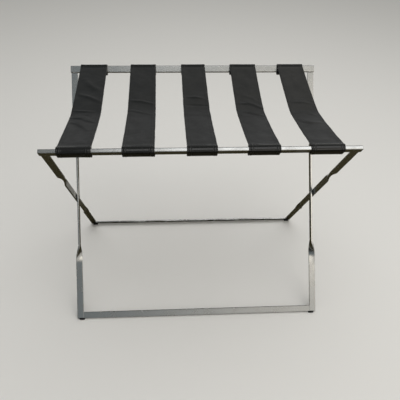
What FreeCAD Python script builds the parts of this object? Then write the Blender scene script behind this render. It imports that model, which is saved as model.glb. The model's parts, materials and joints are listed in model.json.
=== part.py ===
import FreeCAD, Part
import math
import os

# Folding luggage bench. Two rectangular frames of flat bar cross like scissors on a pair of rivets,
# and straps with a sewn sleeve at each end hang between the two top rails.
# Millimetres, +Z up, X along the rails, Y from the front rail to the rear rail.
# The origin is on the floor under the pivot axis, midway between the feet.

# Frames
bench_length = 650.0  # outer frame's rail, over its end caps
lean_angle = 36.6  # degrees that each frame leans from upright
frame_length = 659.0  # along the leg, from the rail's top to the foot bar's lower edge
pivot_drop = 9.5  # from the middle of that length down to the pivot

# Flat bar of the legs and foot bars
bar_width = 16.0
bar_thickness = 4.0
bar_edge = 0.5  # chamfer along the bar's edges
edge_half_length = 128.0  # the leg stands on edge this far above and below the pivot
twist_length = 45.0  # length of each quarter twist
twist_inset = 1.5  # the stretch on edge stands this far inside the flat stretches' middle
twist_steps = 4  # sections through a twist, besides the first

# Top rails, rectangular tube
rail_depth = 17.5  # along the leg
rail_thickness = 9.0
rail_wall = 1.5
rail_corner = 2.0
cap_thickness = 1.5  # head of the end cap, past the tube's end
cap_edge = 0.8  # rounding of the cap's rim
spigot_length = 10.0
spigot_clearance = 0.1
spigot_corner = 0.5

# Pivots
spacer_thickness = 2.0
spacer_radius = 7.0
rivet_radius = 3.0
rivet_head_radius = 5.5
rivet_head_height = 1.8
rivet_rim = 0.5  # straight part of the head's edge
pin_clearance = 0.05  # radial, around the rivet's shank

# Glides
glide_width = 14.0  # along X
glide_depth = 10.0  # along Y
glide_height = 5.0
glide_sole = 1.5  # rubber between the floor and the lowest edge of the bar
glide_corner = 2.0
glide_inset = 12.0  # from the leg's outer edge to the glide's middle
glide_setback = 1.3  # towards the bench's middle, from the middle of the bar's edge

# Straps
strap_count = 5
strap_width = 66.0
strap_margin = 37.0  # from the bench's end to the nearest strap
strap_thickness = 2.2
strap_sag = 25.0  # the middle hangs this far below the rails' top
bend_radius = 60.0  # soft crease at the middle, on the upper face
sleeve_clearance = 0.3
sleeve_slack = 2.0  # loose room below the rail
flap_length = 32.0  # sewn return of the strap under itself

# Places worked out from the sizes above
lean = math.radians(lean_angle)
pivot_to_rail_top = frame_length / 2 + pivot_drop
pivot_to_foot_edge = frame_length / 2 - pivot_drop
pivot_height = glide_sole + pivot_to_foot_edge * math.cos(lean) + bar_thickness / 2 * math.sin(lean)
outer_half = bench_length / 2 - cap_thickness
inner_half = outer_half - bar_thickness - spacer_thickness
rail_middle = pivot_to_rail_top - rail_depth / 2
flat_start = edge_half_length + twist_length
outer_strap_middle = bench_length / 2 - strap_margin - strap_width / 2
half_turn = 180.0
quarter_turn = 90.0


def rounded_rectangle(width, depth, radius):
    """Closed wire in the XY plane, centred on the origin."""
    x = width / 2
    y = depth / 2
    corners = [(x, y), (-x, y), (-x, -y), (x, -y)]
    edges = []
    for number, (cx, cy) in enumerate(corners):
        centre = FreeCAD.Vector(cx - math.copysign(radius, cx), cy - math.copysign(radius, cy), 0)
        turn = math.radians(quarter_turn * number)
        points = []
        for part in (0, 0.5, 1):
            angle = turn + part * math.pi / 2
            points.append(centre + FreeCAD.Vector(radius * math.cos(angle), radius * math.sin(angle), 0))
        if number > 0:
            edges.append(Part.LineSegment(start, points[0]).toShape())
        edges.append(Part.Arc(*points).toShape())
        start = points[2]
    edges.append(Part.LineSegment(start, edges[0].Vertexes[0].Point).toShape())
    return Part.Wire(edges)


def bar_outline(width, depth):
    """Closed wire in the XY plane, centred on the origin, with chamfered corners."""
    x = width / 2
    y = depth / 2
    points = []
    for cx, cy in ((x, y), (-x, y), (-x, -y), (x, -y)):
        inward_x = math.copysign(bar_edge, cx)
        inward_y = math.copysign(bar_edge, cy)
        ends = [FreeCAD.Vector(cx, cy - inward_y, 0), FreeCAD.Vector(cx - inward_x, cy, 0)]
        if cx * cy < 0:
            ends.reverse()
        points += ends
    return Part.makePolygon(points + [points[0]])


def along_x(wire, start, end):
    """Solid from a wire drawn in XY, stood up so that its x runs along Y and its y along Z."""
    face = Part.Face(wire)
    face.rotate(FreeCAD.Vector(0, 0, 0), FreeCAD.Vector(1, 1, 1), 120)
    face.translate(FreeCAD.Vector(start, 0, 0))
    return face.extrude(FreeCAD.Vector(end - start, 0, 0))


def cylinder_x(radius, start, end):
    return Part.makeCylinder(radius, end - start, FreeCAD.Vector(start, 0, 0), FreeCAD.Vector(1, 0, 0))


# Each frame is drawn upright about its pivot: Z runs up the leg, and +Y is the side that faces up
# once the frame leans.


def lean_outer(shape):
    """The outer frame's top leans to the front."""
    placed = shape.copy()
    placed.rotate(FreeCAD.Vector(0, 0, 0), FreeCAD.Vector(1, 0, 0), lean_angle)
    placed.translate(FreeCAD.Vector(0, 0, pivot_height))
    return placed


def lean_inner(shape):
    """The inner frame is drawn as the outer one is, then turned half round, so its top leans to the back."""
    placed = lean_outer(shape)
    placed.rotate(FreeCAD.Vector(0, 0, 0), FreeCAD.Vector(0, 0, 1), half_turn)
    return placed


def bar_section(middle, height, angle):
    wire = bar_outline(bar_width, bar_thickness)
    wire.rotate(FreeCAD.Vector(0, 0, 0), FreeCAD.Vector(0, 0, 1), angle)
    wire.translate(FreeCAD.Vector(middle, 0, height))
    return wire


def straight_bar(middle, low, high, angle):
    return Part.Face(bar_section(middle, low, angle)).extrude(FreeCAD.Vector(0, 0, high - low))


def edge_middle(half_width):
    return half_width - bar_width / 2 - twist_inset


def twisted_bar(side, half_width, upward, turned_end):
    """Quarter twist from the stretch on edge to the flat stretch, above or below the pivot."""
    sections = []
    for step in range(twist_steps + 1):
        share = step / twist_steps
        middle = side * (edge_middle(half_width) + share * twist_inset)
        height = upward * (edge_half_length + share * twist_length)
        angle = side * quarter_turn * (1 - upward * turned_end * share)
        sections.append(bar_section(middle, height, angle))
    return Part.makeLoft(sections, True)


def leg(side, half_width, turned_end):
    """Flat at both ends and on edge at the pivot, with both twists of one hand. The bar's outer edge
    turns up at the upper twist (turned_end 1) or at the lower one (-1), its inner edge at the other.
    """
    flat_middle = side * (half_width - bar_width / 2)
    middle = side * edge_middle(half_width)
    pieces = [straight_bar(flat_middle, flat_start, pivot_to_rail_top - rail_depth, 0)]
    pieces.append(twisted_bar(side, half_width, 1, turned_end))
    pieces.append(straight_bar(middle, -edge_half_length, edge_half_length, quarter_turn))
    pieces.append(twisted_bar(side, half_width, -1, turned_end))
    pieces.append(straight_bar(flat_middle, -pivot_to_foot_edge, -flat_start, 0))
    bar = pieces[0].multiFuse(pieces[1:]).removeSplitter()
    hole = cylinder_x(rivet_radius + pin_clearance, middle - bar_thickness, middle + bar_thickness)
    return bar.cut(hole)


def foot_bar(half_width):
    reach = half_width - bar_width
    bar = along_x(bar_outline(bar_thickness, bar_width), -reach, reach)
    bar.translate(FreeCAD.Vector(0, 0, bar_width / 2 - pivot_to_foot_edge))
    return bar


def rail(half_width):
    tube = along_x(rounded_rectangle(rail_thickness, rail_depth, rail_corner), -half_width, half_width)
    bore_wire = rounded_rectangle(rail_thickness - 2 * rail_wall, rail_depth - 2 * rail_wall, spigot_corner)
    tube = tube.cut(along_x(bore_wire, -half_width, half_width))
    tube.translate(FreeCAD.Vector(0, 0, rail_middle))
    return tube


def rail_cap(side, half_width):
    """Head with a rounded rim outside the tube, and a spigot inside it."""
    head = along_x(rounded_rectangle(rail_thickness, rail_depth, rail_corner), 0, cap_thickness)
    rim = [edge for edge in head.Edges if edge.BoundBox.XMin > cap_thickness / 2]
    head = head.makeFillet(cap_edge, rim)
    shrink = 2 * (rail_wall + spigot_clearance)
    spigot_wire = rounded_rectangle(rail_thickness - shrink, rail_depth - shrink, spigot_corner)
    cap = head.fuse(along_x(spigot_wire, -spigot_length, 0))
    if side < 0:
        cap.rotate(FreeCAD.Vector(0, 0, 0), FreeCAD.Vector(0, 0, 1), half_turn)
    cap.translate(FreeCAD.Vector(side * half_width, 0, rail_middle))
    return cap


def rivet_head(start, outward):
    """Low dome on the X axis, standing out from the plane x = start."""
    rim = FreeCAD.Vector(start + outward * rivet_rim, rivet_head_radius, 0)
    top = FreeCAD.Vector(start + outward * rivet_head_height, 0, 0)
    dome_height = rivet_head_height - rivet_rim
    dome_radius = (rivet_head_radius ** 2 + dome_height ** 2) / (2 * dome_height)
    half_angle = math.asin(rivet_head_radius / dome_radius) / 2
    dome_centre = top - FreeCAD.Vector(outward * dome_radius, 0, 0)
    toward = FreeCAD.Vector(outward * math.cos(half_angle), math.sin(half_angle), 0)
    base = FreeCAD.Vector(start, 0, 0)
    foot = FreeCAD.Vector(start, rivet_head_radius, 0)
    edges = [Part.LineSegment(base, foot).toShape()]
    edges.append(Part.LineSegment(foot, rim).toShape())
    edges.append(Part.Arc(rim, dome_centre + toward * dome_radius, top).toShape())
    edges.append(Part.LineSegment(top, base).toShape())
    profile = Part.Face(Part.Wire(edges))
    return profile.revolve(base, FreeCAD.Vector(1, 0, 0), 360)


def rivet(side):
    """The shank runs through both legs and the spacer, with a dome on each end."""
    inner_end = edge_middle(inner_half) - bar_thickness / 2
    outer_end = edge_middle(outer_half) + bar_thickness / 2
    shank = cylinder_x(rivet_radius, inner_end, outer_end)
    body = shank.multiFuse([rivet_head(inner_end, -1), rivet_head(outer_end, 1)]).removeSplitter()
    if side < 0:
        body.rotate(FreeCAD.Vector(0, 0, 0), FreeCAD.Vector(0, 0, 1), half_turn)
    return body


def spacer(side):
    start = edge_middle(inner_half) + bar_thickness / 2
    ring = cylinder_x(spacer_radius, start, start + spacer_thickness)
    ring = ring.cut(cylinder_x(rivet_radius + pin_clearance, start, start + spacer_thickness))
    if side < 0:
        ring.rotate(FreeCAD.Vector(0, 0, 0), FreeCAD.Vector(0, 0, 1), half_turn)
    return ring


def glide(x, y, bars):
    """Rubber block on the floor, with a slot that the lower edges of leg and foot bar sit in."""
    block = Part.Face(rounded_rectangle(glide_width, glide_depth, glide_corner))
    block = block.extrude(FreeCAD.Vector(0, 0, glide_height))
    block.translate(FreeCAD.Vector(x, y, 0))
    for bar in bars:
        block = block.cut(bar)
    return block


# Straps are drawn in the YZ plane. A direction is an angle from upright towards the rear, a place is
# (y, z), and the front half is mirrored for the rear half.


def unit(angle):
    return (math.sin(angle), math.cos(angle))


def move(start, direction, distance):
    return (start[0] + direction[0] * distance, start[1] + direction[1] * distance)


def arc_points(centre, radius, first, last):
    return [move(centre, unit(first + share * (last - first)), radius) for share in (0, 0.5, 1)]


def chain(items, mirror):
    """Edges through a list in which one place is a corner and three places are an arc."""
    edges = []
    last = None
    for item in items:
        points = [FreeCAD.Vector(0, mirror * y, z) for y, z in item]
        if last is not None:
            edges.append(Part.LineSegment(last, points[0]).toShape())
        if len(points) == 3:
            edges.append(Part.Arc(*points).toShape())
        last = points[-1]
    return edges


rail_up = -lean
rail_back = math.pi / 2 - lean
sleeve_inner = rail_corner + sleeve_clearance
sleeve_outer = sleeve_inner + strap_thickness


def sleeve_corners():
    """Middles of the sleeve's rounded corners: top rear, top front, lower front, lower rear."""
    rail_centre = move((0, pivot_height), unit(rail_up), rail_middle)
    high = rail_depth / 2 - rail_corner
    low = high + sleeve_slack
    wide = rail_thickness / 2 - rail_corner
    corners = []
    for up, back in ((high, wide), (high, -wide), (-low, -wide), (-low, wide)):
        corners.append(move(move(rail_centre, unit(rail_up), up), unit(rail_back), back))
    return corners


def corner_arc(corners, number, radius, first):
    return arc_points(corners[number], radius, first, rail_up - number * math.pi / 2)


def tunnel(mirror):
    """Inside of a sleeve, with clearance round the rail."""
    corners = sleeve_corners()
    items = []
    for number in range(len(corners)):
        first = rail_up - (number - 1) * math.pi / 2
        items.append(corner_arc(corners, number, sleeve_inner, first))
    items.append([items[0][0]])
    return Part.Wire(chain(items, mirror))


def crease_centre(top):
    return (0, top[1] + sleeve_outer - strap_sag + bend_radius)


def web_slope(top):
    """The web is tangent to the sleeve's top corner and to the crease at the middle."""
    reach = sleeve_outer + bend_radius
    drop = reach - strap_sag
    return math.asin(reach / math.hypot(top[0], drop)) - math.atan2(drop, -top[0])


def half_outline():
    """From the crease's upper face over the web, round the sleeve and back under the sewn return."""
    corners = sleeve_corners()
    top = corners[0]
    slope = web_slope(top)
    normal = unit(slope)
    down_web = unit(slope + math.pi / 2)
    crease = crease_centre(top)
    items = [[move(crease, normal, -bend_radius)]]
    items.append(corner_arc(corners, 0, sleeve_outer, slope))
    for number in range(1, len(corners)):
        first = rail_up - (number - 1) * math.pi / 2
        items.append(corner_arc(corners, number, sleeve_outer, first))
    # The sleeve's rear face runs up to the underside of the sewn return
    flap_under = sleeve_inner - strap_thickness
    opening = rail_back - slope
    along = (sleeve_outer - flap_under * math.cos(opening)) / math.sin(opening)
    items.append([move(move(top, normal, flap_under), down_web, along)])
    for height in (flap_under, sleeve_inner):
        items.append([move(move(top, normal, height), down_web, flap_length)])
    items.append([move(crease, normal, -bend_radius - strap_thickness)])
    return items


def crease_arc(radius):
    top = sleeve_corners()[0]
    slope = web_slope(top)
    points = arc_points(crease_centre(top), -radius, slope, -slope)
    return Part.Arc(*[FreeCAD.Vector(0, y, z) for y, z in points]).toShape()


def strap(middle):
    """A shallow V of web between two sleeves."""
    items = half_outline()
    edges = chain(items, 1) + chain(items, -1)
    edges += [crease_arc(bend_radius), crease_arc(bend_radius + strap_thickness)]
    outline = Part.Wire(Part.__sortEdges__(edges))
    face = Part.makeFace([outline, tunnel(1), tunnel(-1)], "Part::FaceMakerCheese")
    face.translate(FreeCAD.Vector(middle - strap_width / 2, 0, 0))
    return face.extrude(FreeCAD.Vector(strap_width, 0, 0))


def build():
    nodes = {}
    nodes["front_rail"] = lean_outer(rail(outer_half))
    nodes["rear_rail"] = lean_inner(rail(inner_half))
    nodes["rear_foot_bar"] = lean_outer(foot_bar(outer_half))
    nodes["front_foot_bar"] = lean_inner(foot_bar(inner_half))
    pivot = FreeCAD.Vector(0, 0, pivot_height)
    foot_y = pivot_to_foot_edge * math.sin(lean) - glide_setback
    for name, side in (("left", -1), ("right", 1)):
        nodes["outer_leg_" + name] = lean_outer(leg(side, outer_half, 1))
        nodes["inner_leg_" + name] = lean_inner(leg(-side, inner_half, -1))
        nodes["front_rail_cap_" + name] = lean_outer(rail_cap(side, outer_half))
        nodes["rear_rail_cap_" + name] = lean_inner(rail_cap(-side, inner_half))
        for part, made in (("pivot_rivet_", rivet(side)), ("pivot_spacer_", spacer(side))):
            made.translate(pivot)
            nodes[part + name] = made
        rear_bars = [nodes["outer_leg_" + name], nodes["rear_foot_bar"]]
        front_bars = [nodes["inner_leg_" + name], nodes["front_foot_bar"]]
        nodes["rear_glide_" + name] = glide(side * (outer_half - glide_inset), foot_y, rear_bars)
        nodes["front_glide_" + name] = glide(side * (inner_half - glide_inset), -foot_y, front_bars)
    for number in range(strap_count):
        middle = outer_strap_middle * (2 * number / (strap_count - 1) - 1)
        nodes["strap_" + str(number + 1)] = strap(middle)
    return nodes


os.makedirs("parts", exist_ok=True)
for node, shape in build().items():
    shape.exportStep("parts/" + node + ".step")
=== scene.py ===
import json
import math

import bpy
import numpy as np
from mathutils import Matrix, Vector, noise


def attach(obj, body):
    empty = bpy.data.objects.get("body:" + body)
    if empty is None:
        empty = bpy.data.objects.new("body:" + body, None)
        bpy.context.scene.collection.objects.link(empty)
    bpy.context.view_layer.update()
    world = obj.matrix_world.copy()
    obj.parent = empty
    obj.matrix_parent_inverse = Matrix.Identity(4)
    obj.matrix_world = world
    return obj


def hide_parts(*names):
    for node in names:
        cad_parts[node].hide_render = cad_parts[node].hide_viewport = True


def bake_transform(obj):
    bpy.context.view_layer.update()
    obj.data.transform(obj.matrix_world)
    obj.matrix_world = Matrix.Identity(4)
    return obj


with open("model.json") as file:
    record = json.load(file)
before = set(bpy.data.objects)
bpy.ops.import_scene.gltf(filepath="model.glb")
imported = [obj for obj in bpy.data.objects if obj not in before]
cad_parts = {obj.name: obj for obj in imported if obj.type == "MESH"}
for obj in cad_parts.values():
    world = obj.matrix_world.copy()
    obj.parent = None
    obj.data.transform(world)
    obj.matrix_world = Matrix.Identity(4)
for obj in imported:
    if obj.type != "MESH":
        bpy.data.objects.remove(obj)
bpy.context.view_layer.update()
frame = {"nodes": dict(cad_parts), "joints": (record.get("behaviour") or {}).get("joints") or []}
cadNodes = frame["nodes"]
mm = 0.001
print("bench loaded:", len(cadNodes), "CAD nodes")


# Camera
camera = {
    "place": (-0.0648, -1.0311, 1.0632),
    "yaw": 4.198,  # degrees to the right
    "pitch": 38.472,  # degrees down
    "roll": 1.582,
    "focal": 493.9,  # in pixels of a frame 400 wide
    "frameWidth": 400,
}


def makeCamera(c):
    yaw, pitch, roll = (math.radians(c[key]) for key in ("yaw", "pitch", "roll"))
    ahead = Vector((math.sin(yaw) * math.cos(pitch), math.cos(yaw) * math.cos(pitch), -math.sin(pitch)))
    level = Vector((math.cos(yaw), -math.sin(yaw), 0))
    upright = level.cross(ahead)
    right = math.cos(roll) * level + math.sin(roll) * upright
    up = -math.sin(roll) * level + math.cos(roll) * upright
    data = bpy.data.cameras.new("camera")
    data.lens = c["focal"] / c["frameWidth"] * data.sensor_width
    made = bpy.data.objects.new("camera", data)
    bpy.context.collection.objects.link(made)
    turn = Matrix((right, up, -ahead)).transposed().to_4x4()
    made.matrix_world = Matrix.Translation(c["place"]) @ turn
    bpy.context.scene.camera = made


makeCamera(camera)
print("camera placed")


# Shader helpers
def setOrLink(tree, socket, value):
    if isinstance(value, bpy.types.NodeSocket):
        tree.links.new(value, socket)
    else:
        socket.default_value = value


def newMaterial(name, **values):
    material = bpy.data.materials.new(name)
    material.use_nodes = True
    tree = material.node_tree
    tree.nodes.clear()
    shader = tree.nodes.new("ShaderNodeBsdfPrincipled")
    out = tree.nodes.new("ShaderNodeOutputMaterial")
    tree.links.new(shader.outputs["BSDF"], out.inputs["Surface"])
    for key, value in values.items():
        shader.inputs[key.replace("_", " ")].default_value = value
    return material, tree, shader


def remap(tree, value, low, high, first=0.0, last=1.0):
    node = tree.nodes.new("ShaderNodeMapRange")
    node.interpolation_type = "SMOOTHSTEP"
    for key, number in (("From Min", low), ("From Max", high), ("To Min", first), ("To Max", last)):
        setOrLink(tree, node.inputs[key], number)
    setOrLink(tree, node.inputs["Value"], value)
    return node.outputs["Result"]


def mixColours(tree, share, first, second):
    node = tree.nodes.new("ShaderNodeMix")
    node.data_type = "RGBA"
    for number, value in ((0, share), (6, first), (7, second)):
        setOrLink(tree, node.inputs[number], value)
    return node.outputs[2]


def calculate(tree, operation, first, second=0.0):
    node = tree.nodes.new("ShaderNodeMath")
    node.operation = operation
    setOrLink(tree, node.inputs[0], first)
    setOrLink(tree, node.inputs[1], second)
    return node.outputs[0]


def stretch(tree, where, scale):
    node = tree.nodes.new("ShaderNodeMapping")
    setOrLink(tree, node.inputs["Vector"], where)
    node.inputs["Scale"].default_value = scale
    return node.outputs["Vector"]


def noiseTexture(tree, where, scale, detail=3.0, rough=0.55):
    node = tree.nodes.new("ShaderNodeTexNoise")
    for key, value in (("Vector", where), ("Scale", scale), ("Detail", detail), ("Roughness", rough)):
        setOrLink(tree, node.inputs[key], value)
    return node.outputs["Fac"]


def cellTexture(tree, where, scale, feature="F1"):
    node = tree.nodes.new("ShaderNodeTexVoronoi")
    node.feature = feature
    for key, value in (("Vector", where), ("Scale", scale)):
        setOrLink(tree, node.inputs[key], value)
    return node.outputs["Distance"]


def bump(tree, height, strength, distance):
    node = tree.nodes.new("ShaderNodeBump")
    node.inputs["Strength"].default_value = strength
    node.inputs["Distance"].default_value = distance
    tree.links.new(height, node.inputs["Height"])
    return node.outputs["Normal"]


def coordinates(tree, kind):
    return tree.nodes.new("ShaderNodeTexCoord").outputs[kind]


def newGroup(name, inputs, outputs):
    group = bpy.data.node_groups.new(name, "ShaderNodeTree")
    for socketName, kind, value in inputs:
        socket = group.interface.new_socket(socketName, in_out="INPUT", socket_type=kind)
        if value is not None:
            socket.default_value = value
    for socketName, kind in outputs:
        group.interface.new_socket(socketName, in_out="OUTPUT", socket_type=kind)
    return group, group.nodes.new("NodeGroupInput"), group.nodes.new("NodeGroupOutput")


def floatSockets(*names):
    return [(name, "NodeSocketFloat") for name in names]


def placeGroup(tree, group, **values):
    node = tree.nodes.new("ShaderNodeGroup")
    node.node_tree = group
    for key, value in values.items():
        setOrLink(tree, node.inputs[key], value)
    return node


# Shared effects
def makeHandlingMarks():
    # Cloudy smudges and a few specks of dust, on metal and leather alike
    sockets = [("Vector", "NodeSocketVector", None), ("Size", "NodeSocketFloat", 30.0)]
    group, given, out = newGroup("handlingMarks", sockets, floatSockets("Smudge", "Speck"))
    cloud = noiseTexture(group, given.outputs["Vector"], given.outputs["Size"], 4.0, 0.6)
    group.links.new(remap(group, cloud, 0.35, 0.72), out.inputs["Smudge"])
    fine = calculate(group, "MULTIPLY", given.outputs["Size"], 14.0)
    dots = cellTexture(group, given.outputs["Vector"], fine)
    patchy = remap(group, cloud, 0.5, 0.62)
    speck = calculate(group, "MULTIPLY", remap(group, dots, 0.13, 0.06), patchy)
    group.links.new(speck, out.inputs["Speck"])
    return group


def makeDrawnLines():
    # Fine lines along the bar that its polishing leaves
    sockets = [("Vector", "NodeSocketVector", None)]
    group, given, out = newGroup("drawnLines", sockets, floatSockets("Lines", "Scratch"))
    lines = noiseTexture(group, given.outputs["Vector"], 900.0, 2.0, 0.5)
    group.links.new(lines, out.inputs["Lines"])
    crossed = noiseTexture(group, stretch(group, given.outputs["Vector"], (3.0, 0.6, 0.6)), 160.0, 1.0, 0.4)
    group.links.new(remap(group, crossed, 0.7, 0.74), out.inputs["Scratch"])
    return group


def makeLeatherGrain():
    # Pebbled cells with creased borders between them
    sockets = [("Vector", "NodeSocketVector", None), ("Size", "NodeSocketFloat", 900.0)]
    group, given, out = newGroup("leatherGrain", sockets, floatSockets("Height", "Tone"))
    cells = cellTexture(group, given.outputs["Vector"], given.outputs["Size"], "SMOOTH_F1")
    pebble = remap(group, cells, 0.75, 0.15)
    fineSize = calculate(group, "MULTIPLY", given.outputs["Size"], 2.6)
    fine = noiseTexture(group, given.outputs["Vector"], fineSize, 2.0)
    height = calculate(group, "ADD", pebble, calculate(group, "MULTIPLY", fine, 0.35))
    group.links.new(height, out.inputs["Height"])
    broadSize = calculate(group, "MULTIPLY", given.outputs["Size"], 0.035)
    broad = noiseTexture(group, given.outputs["Vector"], broadSize, 4.0)
    group.links.new(remap(group, broad, 0.3, 0.7), out.inputs["Tone"])
    return group


handlingMarks = makeHandlingMarks()
drawnLines = makeDrawnLines()
leatherGrain = makeLeatherGrain()
print("shared effects built")


# Metal
steel = {
    "colour": (0.53, 0.535, 0.53, 1),
    "smudged": (0.49, 0.49, 0.48, 1),
    "rubbed": (0.62, 0.62, 0.61, 1),
    "roughness": (0.2, 0.27),
    "lineBump": 0.002,
    "lineRoughness": 0.03,
    "scratch": 0.35,
}


def makeSteel(name, finish, where="Object", along=(1, 60, 60), rimmed=False):
    material, tree, shader = newMaterial(name, Metallic=1.0)
    place = coordinates(tree, where)
    marks = placeGroup(tree, handlingMarks, Vector=place, Size=38.0)
    lines = placeGroup(tree, drawnLines, Vector=stretch(tree, place, [side / 60 for side in along]))
    colour = mixColours(tree, marks.outputs["Smudge"], finish["colour"], finish["smudged"])
    scratched = calculate(tree, "MULTIPLY", lines.outputs["Scratch"], finish["scratch"])
    colour = mixColours(tree, scratched, colour, finish["rubbed"])
    if rimmed:
        rim = tree.nodes.new("ShaderNodeAttribute")
        rim.attribute_name = "rim"
        colour = mixColours(tree, rim.outputs["Fac"], colour, finish["rubbed"])
    tree.links.new(colour, shader.inputs["Base Color"])
    low, high = finish["roughness"]
    rough = remap(tree, marks.outputs["Smudge"], 0, 1, low, high)
    lined = calculate(tree, "MULTIPLY", lines.outputs["Lines"], finish["lineRoughness"])
    rough = calculate(tree, "ADD", rough, lined)
    tree.links.new(rough, shader.inputs["Roughness"])
    tree.links.new(bump(tree, lines.outputs["Lines"], finish["lineBump"], 0.0002), shader.inputs["Normal"])
    return material


railSteel = makeSteel("railSteel", steel)
legSteel = makeSteel("legSteel", steel, "UV", (1, 60, 60), True)
rivetFinish = dict(steel, colour=(0.5, 0.5, 0.49, 1), roughness=(0.28, 0.42))
rivetSteel = makeSteel("rivetSteel", rivetFinish, "Object", (20, 20, 20))


# Frame places: x to the right of the leg's own frame, up the leg, and out through its upper face
bench = {
    "lean": math.radians(36.6),
    "railTop": 339.0,  # up from the pivot
    "footEdge": 320.0,  # down from the pivot
    "railSpan": 198,  # from the pivot's plane to where the straps meet the rails
    "railDepth": 17.5,
    "railThickness": 9.0,
    "railCorner": 2.0,
    "outerHalf": 323.5,
    "innerHalf": 317.5,
}
pivot = Vector(frame["joints"][0]["pos_m"])
bodySide = {"outer_frame": 1, "inner_frame": -1}


def framePoint(body, x, up, out):
    side = bodySide[body]
    y = out * math.cos(bench["lean"]) - up * math.sin(bench["lean"])
    z = out * math.sin(bench["lean"]) + up * math.cos(bench["lean"])
    return pivot + Vector((side * x, side * y, z)) * mm


def newPiece(name, points, faces, material, smooth=True):
    mesh = bpy.data.meshes.new(name)
    mesh.from_pydata([tuple(point) for point in points], [], faces)
    made = bpy.data.objects.new(name, mesh)
    bpy.context.collection.objects.link(made)
    mesh.materials.append(material)
    mesh.polygons.foreach_set("use_smooth", [smooth] * len(mesh.polygons))
    if smooth:
        mesh.set_sharp_from_angle(angle=math.radians(42))
    mesh.update()
    return made


def sweep(rings, closedEnds=True):
    # Points and quads through a list of rings with equal counts
    count = len(rings[0])
    points = [point for ring in rings for point in ring]
    faces = []
    for row in range(len(rings) - 1):
        for k in range(count):
            after = (k + 1) % count
            here, beyond = row * count, (row + 1) * count
            faces.append((here + k, here + after, beyond + after, beyond + k))
    if closedEnds:
        faces.append(tuple(reversed(range(count))))
        faces.append(tuple(range((len(rings) - 1) * count, len(rings) * count)))
    return points, faces


def layUv(made, uvOfVertex):
    layer = made.data.uv_layers.new(name="surface")
    for loop in made.data.loops:
        layer.data[loop.index].uv = uvOfVertex(loop.vertex_index, loop.index)


# Legs
legBar = {
    "width": 16.0,
    "thickness": 4.0,
    "rounding": 0.55,
    "roundSteps": 3,
    "support": 0.35,
    "edgeHalf": 128.0,  # on edge this far each side of the pivot
    "twist": 45.0,
    "inset": 1.5,
    "twistSteps": 22,
    "straightStep": 24.0,
}


def barSection(b):
    # Rounded rectangle about the bar's axis, with a mark on the corner points
    points, corner = [], []
    x, y, r = b["width"] / 2, b["thickness"] / 2, b["rounding"]
    for number, (sx, sy) in enumerate(((1, 1), (-1, 1), (-1, -1), (1, -1))):
        for step in range(b["roundSteps"] + 1):
            angle = math.pi / 2 * (number + step / b["roundSteps"])
            points.append((sx * (x - r) + r * math.cos(angle), sy * (y - r) + r * math.sin(angle)))
            corner.append(0.0 if step in (0, b["roundSteps"]) else 1.0)
        # rows just inside the corners keep the flat faces flat in their shading
        if number % 2 == 0:
            spare = x - r - b["support"]
            points += [(sx * spare, sy * y), (0, sy * y), (-sx * spare, sy * y)]
        else:
            spare = y - r - b["support"]
            points += [(sx * x, sy * spare), (sx * x, -sy * spare)]
        corner += [0.0] * (len(points) - len(corner))
    return points, corner


def legStations(b):
    # (up, share of the way from on edge to flat)
    top = bench["railTop"] - bench["railDepth"]
    flat = b["edgeHalf"] + b["twist"]
    stations = []

    def straight(low, high, share):
        count = max(2, round((high - low) / b["straightStep"]))
        for k in range(count + 1):
            stations.append((low + (high - low) * k / count, share))

    straight(-bench["footEdge"], -flat, 1.0)
    for k in range(1, b["twistSteps"]):
        share = 1 - k / b["twistSteps"]
        stations.append((-b["edgeHalf"] - b["twist"] * share, share))
    straight(-b["edgeHalf"], b["edgeHalf"], 0.0)
    for k in range(1, b["twistSteps"]):
        share = k / b["twistSteps"]
        stations.append((b["edgeHalf"] + b["twist"] * share, share))
    straight(flat, top, 1.0)
    return stations


def makeLeg(name, body, side):
    b = legBar
    own = side * bodySide[body]  # side of the leg in its frame's own drawing
    half = bench["outerHalf"] if body == "outer_frame" else bench["innerHalf"]
    section, corner = barSection(b)
    rings, along = [], []
    for up, share in legStations(b):
        soft = share + 0.35 * (share * share * (3 - 2 * share) - share)
        middle = own * (half - b["width"] / 2 - b["inset"] * (1 - share))
        angle = own * math.pi / 2 * (1 - math.copysign(soft, up * bodySide[body]))
        ring = []
        for x, y in section:
            px = middle + x * math.cos(angle) - y * math.sin(angle)
            py = x * math.sin(angle) + y * math.cos(angle)
            ring.append(framePoint(body, px, up, py))
        rings.append(ring)
        along.append(up)
    points, faces = sweep(rings)
    made = newPiece(name + "_bar", points, faces, legSteel)
    count = len(section)
    rim = made.data.attributes.new("rim", "FLOAT", "POINT")
    rim.data.foreach_set("value", corner * len(rings))
    around = [math.atan2(y, x) for x, y in section]
    layUv(made, lambda vertex, loop: (along[vertex // count] * mm, around[vertex % count] * 0.006))
    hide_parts(name)
    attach(made, body)
    return made


for body, group in (("outer_frame", "outer_leg_"), ("inner_frame", "inner_leg_")):
    for sideName, side in (("left", -1), ("right", 1)):
        makeLeg(group + sideName, body, side)
print("legs twisted")


# Weld beads where each leg meets its rail
weld = {"radius": 1.3, "ripple": 0.12, "pitch": 1.6, "around": 8, "inset": 0.4}


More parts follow.
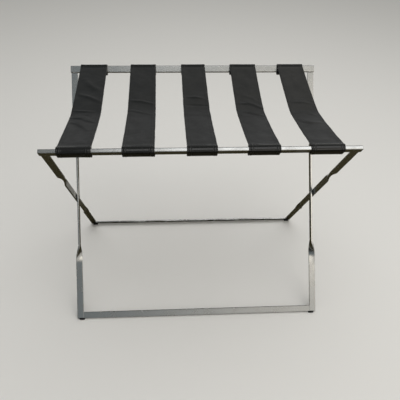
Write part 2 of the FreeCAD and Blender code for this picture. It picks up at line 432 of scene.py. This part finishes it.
def makeBead(name, body, start, end, outward):
    # start and end are (x, up, out) in the frame's own drawing
    start, end = Vector(start), Vector(end)
    length = (end - start).length
    steps = max(6, round(length / 0.5))
    axis = (end - start).normalized()
    across = Vector(outward).normalized()
    other = axis.cross(across)
    rings = []
    for k in range(steps + 1):
        t = k / steps
        taper = math.sqrt(max(0.0, 1 - abs(2 * t - 1) ** 6))
        wave = 1 + weld["ripple"] * math.sin(2 * math.pi * t * length / weld["pitch"])
        radius = weld["radius"] * max(0.25, taper) * wave
        centre = start.lerp(end, t)
        ring = []
        for n in range(weld["around"]):
            angle = 2 * math.pi * n / weld["around"]
            spot = centre + (across * math.cos(angle) + other * math.sin(angle)) * radius
            ring.append(framePoint(body, *spot))
        rings.append(ring)
    points, faces = sweep(rings)
    made = newPiece(name, points, faces, rivetSteel)
    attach(made, body)


for body, half in (("outer_frame", bench["outerHalf"]), ("inner_frame", bench["innerHalf"])):
    under = bench["railTop"] - bench["railDepth"]
    for side in (-1, 1):
        inner, outer = side * (half - legBar["width"] + 1), side * (half - 1)
        lift = legBar["thickness"] / 2 + weld["inset"]
        for face, out in (("upper", lift), ("lower", -lift)):
            hand = "right" if side * bodySide[body] > 0 else "left"
            name = "_".join((body.split("_")[0], "rail_weld", hand, face))
            level = under - weld["inset"]
            makeBead(name, body, (inner, level, out), (outer, level, out), (0, -1, out))
print("welds laid")


# Straps: a ribbon of leather, hemmed along both sides, that runs over both rails and back under itself
sleeve = {
    "gap": 1.4,  # from the rail's corner radius to the ribbon's middle
    "slack": 3.6,  # loose room under the rail
    "seam": 9.0,  # from the rail's top corner to the row of stitches
    "seamDrop": 2.2,
    "flap": 29.0,
    "skived": 20.0,  # length over which the flap thins to its end
    "crown": 0.6,  # how far the leather stands off the middle of the rail's top and front
    "seamSink": 1.6,
    "plyGap": 0.05,  # between the flap and the web
    "hang": 0.72,  # where the flap leaves the rail's rear face, as a share of the way up it
    "flapPoints": 6,
    "flapBend": 3.0,
    "hangBend": 2.5,
    "bellyBend": 24.0,
    "crownBend": 16.0,
}
ribbon = {
    "half": 1.1,  # half of the thickness
    "hem": 10.0,  # turned-in width along each side
    "hemRise": 0.09,
    "stitchIn": 3.4,  # row of stitches, in from the side
    "stitchDip": 0.12,
    "secondIn": 8.6,
    "secondDip": 0.14,
    "tautDips": 3.0,  # the rows sink this many times deeper where the leather is taut
    "step": 2.4,
    "webPoints": 160,
    "webFade": 14,
    "sag": 0.8,  # share of the web's fall that is straight, the rest is curved
    "softening": 0.05,
    "foldScale": 2.0,
}
straps = [
    {
        "name": "strap_1", "front": (-255.8, 68.6), "rear": (-258.6, 67.6),
        "low": -15, "drop": 22.0, "lean": 1.0,
        "folds": [
            ([(-14, 131), (-2, 108), (25, 82)], 0.7, 7.0),
            ([(-22, 68), (1, 57), (28, 36)], 0.9, 5.0),
            ([(-29, 1), (-6, -3), (17, -5)], 0.7, 3.0),
            ([(-30, -35), (-7, -39), (9, -53), (25, -62)], 1.2, 3.8),
            ([(-24, -61), (-10, -70), (4, -88), (14, -104)], 1.25, 4.4),
            ([(-4, -20), (16, -31)], -0.5, 3.0),
        ],
    },
    {
        "name": "strap_2", "front": (-129.1, 65.3), "rear": (-132.1, 65.3),
        "low": 0, "drop": 23.0, "lean": 0.4,
        "folds": [
            ([(-24, 44), (0, 40), (26, 30)], 0.9, 3.6),
            ([(-31, 3), (-18, 1), (4, -12), (24, -21)], 0.7, 3.4),
        ],
    },
    {
        "name": "strap_3", "front": (-1.7, 61.8), "rear": (-3.0, 61.8),
        "low": 0, "drop": 23.0, "lean": -0.3,
        "folds": [
            ([(-18, 57), (-1, 57), (18, 51)], 0.9, 4.0),
            ([(-23, 24), (-1, 23), (28, 21)], -0.65, 3.0),
            ([(-22, -18), (25, -24)], 0.35, 5.0),
        ],
    },
    {
        "name": "strap_4", "front": (124.0, 65.1), "rear": (127.0, 67.1),
        "low": 10, "drop": 30.0, "lean": -0.6,
        "folds": [
            ([(-22, 40), (-1, 41), (14, 33), (31, 20)], 1.0, 4.2),
            ([(-17, 5), (-2, -2), (15, -14), (26, -20)], 1.1, 3.6),
            ([(-6, 71), (10, 63), (20, 49)], 0.35, 4.6),
        ],
    },
    {
        "name": "strap_5", "front": (253.0, 69.3), "rear": (252.8, 67.3),
        "low": 0, "drop": 27.5, "lean": -0.8,
        "folds": [
            ([(-19, 39), (5, 39), (23, 34)], 0.75, 4.2),
            ([(-26, -6), (0, -6), (20, -23)], 0.95, 4.0),
            ([(-25, -46), (-14, -65), (1, -71), (19, -69)], 1.1, 4.4),
        ],
    },
]
leather = {
    "dark": (0.0042, 0.0044, 0.0042, 1),
    "light": (0.0062, 0.0064, 0.006, 1),
    "rubbed": (0.018, 0.018, 0.017, 1),
    "dusty": (0.04, 0.039, 0.035, 1),
    "roughness": (0.36, 0.44),
    "tautGloss": 0.2,  # smoother where it is stretched round the rail
    "seamDull": 0.3,
    "grain": 1.15,  # pebbles per millimetre
    "grainBump": 0.08,
}


def makeLeather(finish):
    material, tree, shader = newMaterial("strapLeather", Specular_IOR_Level=0.5)
    place = coordinates(tree, "UV")
    grain = placeGroup(tree, leatherGrain, Vector=place, Size=finish["grain"] * 100)
    marks = placeGroup(tree, handlingMarks, Vector=place, Size=3.2)
    rim = tree.nodes.new("ShaderNodeAttribute")
    rim.attribute_name = "rim"
    colour = mixColours(tree, grain.outputs["Tone"], finish["dark"], finish["light"])
    uneven = remap(tree, grain.outputs["Tone"], 0.2, 0.9, 0.25, 0.9)
    worn = calculate(tree, "MULTIPLY", rim.outputs["Fac"], uneven)
    colour = mixColours(tree, worn, colour, finish["rubbed"])
    dust = calculate(tree, "MULTIPLY", marks.outputs["Speck"], 0.5)
    colour = mixColours(tree, dust, colour, finish["dusty"])
    tree.links.new(colour, shader.inputs["Base Color"])
    low, high = finish["roughness"]
    rough = remap(tree, marks.outputs["Smudge"], 0, 1, low, high)
    rough = calculate(tree, "ADD", rough, calculate(tree, "MULTIPLY", grain.outputs["Height"], -0.05))
    taut, seam = (tree.nodes.new("ShaderNodeAttribute") for side in range(2))
    taut.attribute_name, seam.attribute_name = "taut", "seam"
    smoother = calculate(tree, "MULTIPLY", taut.outputs["Fac"], finish["tautGloss"])
    rough = calculate(tree, "SUBTRACT", rough, smoother)
    duller = calculate(tree, "MULTIPLY", seam.outputs["Fac"], finish["seamDull"])
    rough = calculate(tree, "ADD", rough, duller)
    tree.links.new(rough, shader.inputs["Roughness"])
    tree.links.new(bump(tree, grain.outputs["Height"], finish["grainBump"], 0.0003), shader.inputs["Normal"])
    return material


strapLeather = makeLeather(leather)


def roundedPath(corners, step):
    # corners are ((y, z), radius); gives points about a step apart, closer on the arcs
    points = [np.array(corners[0][0], float)]
    for k in range(1, len(corners)):
        here = np.array(corners[k][0], float)
        radius = corners[k][1]
        if k == len(corners) - 1 or radius <= 0:
            arc = [here]
        else:
            back = np.array(corners[k - 1][0], float) - here
            onward = np.array(corners[k + 1][0], float) - here
            back /= np.linalg.norm(back)
            onward /= np.linalg.norm(onward)
            half = math.acos(max(-1, min(1, float(back @ onward)))) / 2
            reach = radius / math.tan(half)
            centre = here + (back + onward) / np.linalg.norm(back + onward) * radius / math.sin(half)
            first, last = here + back * reach - centre, here + onward * reach - centre
            count = max(3, math.ceil((math.pi - 2 * half) * radius / min(step, 0.9)))
            turn = math.pi - 2 * half
            arc = []
            for n in range(count + 1):
                a = turn * n / count
                arc.append(centre + (first * math.sin(turn - a) + last * math.sin(a)) / math.sin(turn))
        gap = np.linalg.norm(arc[0] - points[-1])
        count = max(1, round(gap / step))
        points += [points[-1] + (arc[0] - points[-1]) * n / count for n in range(1, count)]
        points += arc
    return points


def railCorner(up, back):
    # (y, z) at the front rail, back is towards the bench's middle
    x, y, z = framePoint("outer_frame", 0, bench["railTop"] - bench["railDepth"] / 2 + up, back) / mm
    return np.array((y, z))


def webHeight(strap, y, ends):
    # height of the ribbon's middle at y, a soft V with its low point at strap["low"]
    low = strap["low"]
    (frontY, frontZ), (rearY, rearZ) = ends
    endY, endZ = (frontY, frontZ) if y < low else (rearY, rearZ)
    t = abs((y - low) / (endY - low))
    soft = ribbon["softening"]
    straight = math.sqrt(t * t + soft * soft) - soft
    straight /= math.sqrt(1 + soft * soft) - soft
    base = railCorner(bench["railDepth"] / 2, 0)[1] - strap["drop"] - ribbon["half"]
    return base + (endZ - base) * (ribbon["sag"] * straight + (1 - ribbon["sag"]) * t * t)


def ribbonPath(strap):
    # From one flap's end round the front rail, along the web, round the rear rail to the other flap's end
    s = sleeve
    radius = bench["railCorner"] + s["gap"]
    high = bench["railDepth"] / 2 + s["gap"]
    low = -bench["railDepth"] / 2 - s["slack"] - s["gap"]
    wide = bench["railThickness"] / 2 + s["gap"]
    topRear, topFront = railCorner(high, wide), railCorner(high, -wide)
    lowFront, lowRear = railCorner(low, -wide), railCorner(low, wide)
    seam = topRear + np.array((s["seam"], -s["seamDrop"] - s["seamSink"]))
    thick = 2 * ribbon["half"] + s["plyGap"]
    frontEnd = tuple(seam)
    ends = (frontEnd, (-frontEnd[0], frontEnd[1]))
    web = []
    for k in range(1, ribbon["webPoints"]):
        y = seam[0] + (-2 * seam[0]) * k / ribbon["webPoints"]
        web.append((y, webHeight(strap, y, ends)))
    inner = []
    for k in range(s["flapPoints"]):  # the flap lies against the web's underside
        y = seam[0] + (s["flap"] - s["seam"]) * (1 - k / (s["flapPoints"] - 1))
        inner.append((y, webHeight(strap, y, ends) - thick))
    hang = lowRear + (topRear - lowRear) * s["hang"]
    belly = railCorner((high + low) / 2, -wide - s["crown"])
    crown = railCorner(high + s["crown"], 0)
    front = [(spot, 0.0) for spot in inner[:-1]]
    front += [(inner[-1], s["flapBend"]), (tuple(hang), s["hangBend"])]
    front += [(tuple(lowRear), radius), (tuple(lowFront), radius), (tuple(belly), s["bellyBend"])]
    front += [(tuple(topFront), radius), (tuple(crown), s["crownBend"]), (tuple(topRear), radius)]
    front += [(frontEnd, 0.0)]
    rear = [((-y, z), bend) for (y, z), bend in reversed(front)]
    for k, (y, z) in enumerate(reversed(inner)):  # the rear flap follows its own side of the web
        place = len(rear) - len(inner) + k
        rear[place] = ((-y, webHeight(strap, -y, ends) - thick), rear[place][1])
    path = roundedPath(front, ribbon["step"])
    path += [np.array(spot) for spot in web]
    path += roundedPath(rear, ribbon["step"])
    return np.array(path)


def ribbonSection(width, taut):
    # (across, height, rim, seam) once round the ribbon, over its upper face and back along the lower one
    h = ribbon["half"]
    deeper = 1 + (ribbon["tautDips"] - 1) * taut
    inward = [0.0, 0.16, 0.5, 1.1, 2.4, 3.0, 3.4, 3.8, 5.0, 6.6, 8.0, 8.6, 9.2, 10.0, 10.8, 12.5]
    half = width / 2
    middle = np.linspace(-half + 15, half - 15, 15)
    row = [-half + d for d in inward] + list(middle) + [half - d for d in reversed(inward)]

    def profile(across):
        d = half - abs(across)
        edge = math.sqrt(max(0.0, 1 - max(0.0, 1 - d / h) ** 2))
        dip = ribbon["stitchDip"] * math.exp(-((d - ribbon["stitchIn"]) / 0.45) ** 2)
        sunk = math.exp(-((d - ribbon["secondIn"]) / 0.6) ** 2)
        dip += ribbon["secondDip"] * sunk
        hem = ribbon["hemRise"] * (1 - 1 / (1 + math.exp(-(d - ribbon["hem"]) / 0.35)))
        return h * edge, dip * deeper, hem * deeper, math.exp(-((d - 0.25) / 0.5) ** 2), sunk

    section = []
    for across in row:
        height, dip, hem, rim, sunk = profile(across)
        section.append((across, height - dip + hem, rim, sunk))
    for across in reversed(row[1:-1]):
        height, dip, hem, rim, sunk = profile(across)
        section.append((across, -height + 0.25 * (1 - hem / deeper / ribbon["hemRise"]), rim, 0.0))
    return section


def foldHeight(strap, x, y):
    # raised or sunk creases across the web
    total = 0.0
    for line, rise, width in strap["folds"]:
        best, share = 1e9, 0.0
        lengths = [math.dist(line[k], line[k + 1]) for k in range(len(line) - 1)]
        whole, gone = sum(lengths), 0.0
        for k, length in enumerate(lengths):
            (ax, ay), (bx, by) = line[k], line[k + 1]
            t = ((x - ax) * (bx - ax) + (y - ay) * (by - ay)) / length ** 2
            t = max(0.0, min(1.0, t))
            away = math.hypot(x - ax - t * (bx - ax), y - ay - t * (by - ay))
            if away < best:
                best, share = away, (gone + t * length) / whole
            gone += length
        if best < 4 * width:
            fade = math.sin(math.pi * (0.12 + 0.76 * share)) ** 0.8
            total += rise * fade * math.exp(-((best / width) ** 2))
    return total


def makeStrap(strap, number):
    path = ribbonPath(strap)
    tangent = np.gradient(path, axis=0)
    tangent /= np.linalg.norm(tangent, axis=1)[:, None]
    normal = np.stack((-tangent[:, 1], tangent[:, 0]), axis=1)
    travelled = np.concatenate(([0], np.cumsum(np.linalg.norm(np.diff(path, axis=0), axis=1))))
    rings, rims, seams, tauts, section = [], [], [], [], None
    (frontX, frontWidth), (rearX, rearWidth) = strap["front"], strap["rear"]
    seed = Vector((number * 7.3, 2.1, 0.4))
    for k, (y, z) in enumerate(path):
        t = min(1.0, max(0.0, (y + bench["railSpan"]) / (2 * bench["railSpan"])))
        middle = frontX + (rearX - frontX) * t
        width = frontWidth + (rearWidth - frontWidth) * t
        flapShare = max(0.0, 1 - min(travelled[k], travelled[-1] - travelled[k]) / sleeve["skived"])
        width -= 2.0 * min(1.0, flapShare * 3)
        fromSeam = bench["railSpan"] - abs(y) - sleeve["seam"]
        web = min(1.0, max(0.0, fromSeam / ribbon["webFade"])) if normal[k][1] > 0.3 else 0.0
        taut = max(0.0, 1 - 2 * web) if abs(y) > 184 else 0.0
        section = ribbonSection(width, taut)
        ring = []
        for across, height, rim, seam in section:
            x = across
            lift = 0.0
            if web > 0:
                lift += ribbon["foldScale"] * foldHeight(strap, across, y)
                lift += 0.8 * noise.noise(Vector((across / 26, y / 34, 0)) + seed)
                lift += 0.22 * noise.noise(Vector((across / 9, y / 11, 3)) + seed)
                lift += strap["lean"] * 0.8 * (across / width) * math.cos(math.pi * y / 400)
                lift *= web
            side = 0.35 * noise.noise(Vector((travelled[k] / 30, 5, number)))
            x += side * (abs(across) / (width / 2)) ** 6 * math.copysign(1, across)
            if flapShare > 0 and height > 0:  # the flap is skived thin on its outer side
                height -= (height + ribbon["half"]) * 0.62 * flapShare
            spot = path[k] + normal[k] * (height + lift)
            ring.append(Vector((middle + x, spot[0], spot[1])) * mm)
            rims.append(rim)
            seams.append(seam * (0.25 + 0.75 * taut))
            tauts.append(taut)
        rings.append(ring)
    points, faces = sweep(rings)
    made = newPiece(strap["name"] + "_leather", points, faces, strapLeather)
    for kind, values in (("rim", rims), ("seam", seams), ("taut", tauts)):
        attribute = made.data.attributes.new(kind, "FLOAT", "POINT")
        attribute.data.foreach_set("value", values)
    count = len(section)
    around = [0.0]
    for k in range(1, count):
        around.append(around[-1] + math.dist(section[k][:2], section[k - 1][:2]))
    layUv(made, lambda vertex, loop: (travelled[vertex // count] / 100, around[vertex % count] / 100))
    outward = [Vector((0, out[0], out[1])) for out in normal]
    return made, rings, outward, [float(spot[0]) for spot in path]


# Stitches: one row along each side, over the web and both rolls, and one across each sleeve's seam
stitch = {
    "pitch": 3.6,
    "length": 2.7,
    "radius": 0.27,
    "rise": 0.16,
    "around": 5,
    "sideRow": 6,
    "seamInset": 3,
    "seamNudge": 1.5,
    "rollStart": 190,
}


def sewRow(points, outward, sewn):
    # points are places on the leather, sewn is the pair of lists that the stitches are added to
    lengths = [0.0]
    for k in range(1, len(points)):
        lengths.append(lengths[-1] + (points[k] - points[k - 1]).length)

    def placeAt(distance):
        k = int(np.searchsorted(lengths, distance)) - 1
        k = max(0, min(len(points) - 2, k))
        t = (distance - lengths[k]) / max(1e-9, lengths[k + 1] - lengths[k])
        return points[k].lerp(points[k + 1], t), outward[k].lerp(outward[k + 1], t).normalized()

    pitch, long = stitch["pitch"] * mm, stitch["length"] * mm
    for number in range(int(lengths[-1] / pitch)):
        start = number * pitch + (pitch - long) / 2
        along = (placeAt(start + long)[0] - placeAt(start)[0]).normalized()
        rings = []
        for share, rise, thick in ((0, -1.6, 0.6), (0.22, 0.6, 1), (0.78, 0.6, 1), (1, -1.6, 0.6)):
            spot, out = placeAt(start + long * share)
            beside = along.cross(out).normalized()
            centre = spot + out * rise * stitch["rise"] * mm
            radius = stitch["radius"] * thick * mm
            angles = [2 * math.pi * n / stitch["around"] for n in range(stitch["around"])]
            rings.append([centre + (out * math.cos(a) + beside * math.sin(a)) * radius for a in angles])
        bodyPoints, bodyFaces = sweep(rings)
        first = len(sewn[0])
        sewn[0].extend(bodyPoints)
        sewn[1].extend(tuple(first + corner for corner in face) for face in bodyFaces)


def makeStitches(strap, rings, outward, places):
    sewn = ([], [])
    last = (len(rings[0]) + 2) // 2 - 1  # the upper face's far side
    onTop = [k for k in range(len(rings)) if outward[k].z > 0.3 or abs(places[k]) > stitch["rollStart"]]
    onTop = range(min(onTop), max(onTop) + 1)
    for column in (stitch["sideRow"], last - stitch["sideRow"]):
        sewRow([rings[k][column] for k in onTop], [outward[k] for k in onTop], sewn)
    edge = bench["railSpan"] - sleeve["seam"] - stitch["seamNudge"]
    for side in (-1, 1):
        k = min((k for k in onTop if outward[k].z > 0.3), key=lambda k: abs(places[k] - side * edge))
        inset = stitch["sideRow"] + stitch["seamInset"]
        columns = range(inset, last - inset + 1)
        sewRow([rings[k][column] for column in columns], [outward[k]] * len(columns), sewn)
    return newPiece(strap["name"] + "_stitches", sewn[0], sewn[1], strapThread)


def makeThread():
    material, tree, shader = newMaterial("strapThread", Specular_IOR_Level=0.4)
    place = coordinates(tree, "Object")
    marks = placeGroup(tree, handlingMarks, Vector=place, Size=60.0)
    colour = mixColours(tree, marks.outputs["Smudge"], (0.006, 0.006, 0.006, 1), (0.014, 0.0135, 0.013, 1))
    tree.links.new(colour, shader.inputs["Base Color"])
    tree.links.new(remap(tree, marks.outputs["Smudge"], 0, 1, 0.5, 0.65), shader.inputs["Roughness"])
    twist = noiseTexture(tree, place, 2600.0, 1.0)
    tree.links.new(bump(tree, twist, 0.3, 0.0002), shader.inputs["Normal"])
    return material


strapThread = makeThread()
pieces = []
for number, strap in enumerate(straps):
    made, rings, outward, places = makeStrap(strap, number)
    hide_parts(strap["name"])
    stitches = makeStitches(strap, rings, outward, places)
    for piece in (made, stitches):
        pieces.append(piece)
    print(strap["name"], "sewn:", len(made.data.polygons), "and", len(stitches.data.polygons), "faces")

for made in pieces:
    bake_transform(made)


# Rubber and nylon
def makeRubber():
    material, tree, shader = newMaterial("glideRubber", Specular_IOR_Level=0.35)
    place = coordinates(tree, "Object")
    marks = placeGroup(tree, handlingMarks, Vector=place, Size=60.0)
    colour = mixColours(tree, marks.outputs["Smudge"], (0.012, 0.012, 0.012, 1), (0.02, 0.02, 0.019, 1))
    colour = mixColours(tree, marks.outputs["Speck"], colour, (0.09, 0.085, 0.075, 1))
    tree.links.new(colour, shader.inputs["Base Color"])
    tree.links.new(remap(tree, marks.outputs["Smudge"], 0, 1, 0.5, 0.68), shader.inputs["Roughness"])
    fine = noiseTexture(tree, place, 1400.0)
    tree.links.new(bump(tree, fine, 0.25, 0.0002), shader.inputs["Normal"])
    return material


def makeNylon():
    material, tree, shader = newMaterial("spacerNylon")
    place = coordinates(tree, "Object")
    marks = placeGroup(tree, handlingMarks, Vector=place, Size=90.0)
    colour = mixColours(tree, marks.outputs["Smudge"], (0.02, 0.02, 0.021, 1), (0.03, 0.03, 0.03, 1))
    tree.links.new(colour, shader.inputs["Base Color"])
    tree.links.new(remap(tree, marks.outputs["Smudge"], 0, 1, 0.35, 0.5), shader.inputs["Roughness"])
    fine = noiseTexture(tree, place, 2200.0)
    tree.links.new(bump(tree, fine, 0.12, 0.0001), shader.inputs["Normal"])
    return material


finishes = {
    "front_rail": railSteel, "rear_rail": railSteel, "rear_foot_bar": railSteel, "front_foot_bar": railSteel,
    "front_rail_cap_": railSteel, "rear_rail_cap_": railSteel, "pivot_rivet_": rivetSteel,
    "pivot_spacer_": makeNylon(), "front_glide_": makeRubber(), "rear_glide_": makeRubber(),
}
for start, material in finishes.items():
    for name, node in cadNodes.items():
        if name == start or (start.endswith("_") and name.startswith(start)):
            node.data.materials.clear()
            node.data.materials.append(material)
print("frame finished")


# Floor and light
studio = {
    "floor": (0.74, 0.73, 0.71, 1),
    "floorHalf": 7.0,
    "sky": (0.80, 0.80, 0.79, 1),
    "farLeft": (0.05, 0.05, 0.045, 1),
    "left": (0.205, 0.23, 0.24, 1),  # what the metal sees to the left
    "right": (0.72, 0.70, 0.65, 1),
    "wall": (0.315, 0.32, 0.32, 1),  # behind the bench, near the horizon
    "above": (0.24, 0.25, 0.25, 1),
    # painted reflection: sheets that stand in for shaded floor under the bench, darkening the metal's
    # downward and inner faces
    "cards": [  # on the floor, seen only in the metal
        {"name": "paintedDarkReflection", "colour": (0.062, 0.054, 0.03, 1), "height": 0.0006,
         "outline": [(-1.3, -1.8), (1.7, -1.8), (1.7, 0.75), (-1.3, 0.75)]},
        {"name": "paintedGreyReflection", "colour": (0.3, 0.29, 0.268, 1), "height": 0.0009,
         "outline": [(-1.3, 0.325), (0.02, 0.325), (0.02, 0.44), (-1.3, 0.44)]},
    ],
    "panels": [
        {"name": "stripPanel", "place": (0.56, -1.08, 3.2), "aim": (0.4, -0.6, 0.3),
         "size": (2.28, 0.85), "watts": 9.8,
         "colour": (1, 0.995, 0.98), "gloss": True},
        {"name": "sidePanel", "place": (1.41, -1.83, 1.74), "aim": (0.3, -0.1, 0.15),
         "size": (1.85, 1.1), "watts": 7.2,
         "colour": (1, 0.92, 0.8), "gloss": True},
        {"name": "fillPanel", "place": (0.2, 0.2, 2.6), "aim": (0, 0, 0), "size": (3.0, 3.0), "watts": 44,
         "colour": (1, 0.995, 0.985), "gloss": False},
    ],
}


def makePanel(p):
    data = bpy.data.lights.new(p["name"], "AREA")
    data.shape = "RECTANGLE"
    data.size, data.size_y = p["size"]
    data.energy = p["watts"]
    data.color = p["colour"]
    made = bpy.data.objects.new(p["name"], data)
    bpy.context.collection.objects.link(made)
    made.visible_glossy = p["gloss"]
    made.location = p["place"]
    made.rotation_euler = (Vector(p["aim"]) - Vector(p["place"])).to_track_quat("-Z", "Y").to_euler()


def makeSheet(name, outline, height, material):
    made = newPiece(name, [(x, y, height) for x, y in outline], [tuple(range(len(outline)))], material, False)
    return made


def makeStudio(s):
    paint, tree, shader = newMaterial("floorPaint", Roughness=0.9, Specular_IOR_Level=0.1)
    shader.inputs["Base Color"].default_value = s["floor"]
    far = s["floorHalf"]
    makeSheet("floor", [(-far, -far), (far, -far), (far, far), (-far, far)], 0, paint)
    # painted reflection: sheets seen only in the metal, standing in for shaded floor
    for card in s["cards"]:
        paper, tree, shader = newMaterial(card["name"], Roughness=1.0, Specular_IOR_Level=0.0)
        shader.inputs["Base Color"].default_value = card["colour"]
        made = makeSheet(card["name"], card["outline"], card["height"], paper)
        made.visible_camera = made.visible_diffuse = made.visible_shadow = made.visible_transmission = False
    for panel in s["panels"]:
        makePanel(panel)
    world = bpy.data.worlds.new("studio")
    bpy.context.scene.world = world
    world.use_nodes = True
    tree = world.node_tree
    tree.nodes.clear()
    direction = tree.nodes.new("ShaderNodeSeparateXYZ")
    tree.links.new(coordinates(tree, "Generated"), direction.inputs[0])
    surround = mixColours(tree, remap(tree, direction.outputs["X"], -0.75, -0.4), s["farLeft"], s["left"])
    surround = mixColours(tree, remap(tree, direction.outputs["X"], -0.2, 0.26), surround, s["right"])
    surround = mixColours(tree, remap(tree, direction.outputs["Z"], 0.72, 0.95), surround, s["above"])
    surround = mixColours(tree, remap(tree, direction.outputs["Y"], 0.55, 0.92), surround, s["wall"])
    ray = tree.nodes.new("ShaderNodeLightPath")
    seen = mixColours(tree, ray.outputs["Is Camera Ray"], surround, s["sky"])
    light = tree.nodes.new("ShaderNodeBackground")
    tree.links.new(seen, light.inputs["Color"])
    out = tree.nodes.new("ShaderNodeOutputWorld")
    tree.links.new(light.outputs[0], out.inputs[0])
    bpy.context.scene.view_settings.view_transform = "Standard"


makeStudio(studio)
print("studio lit")
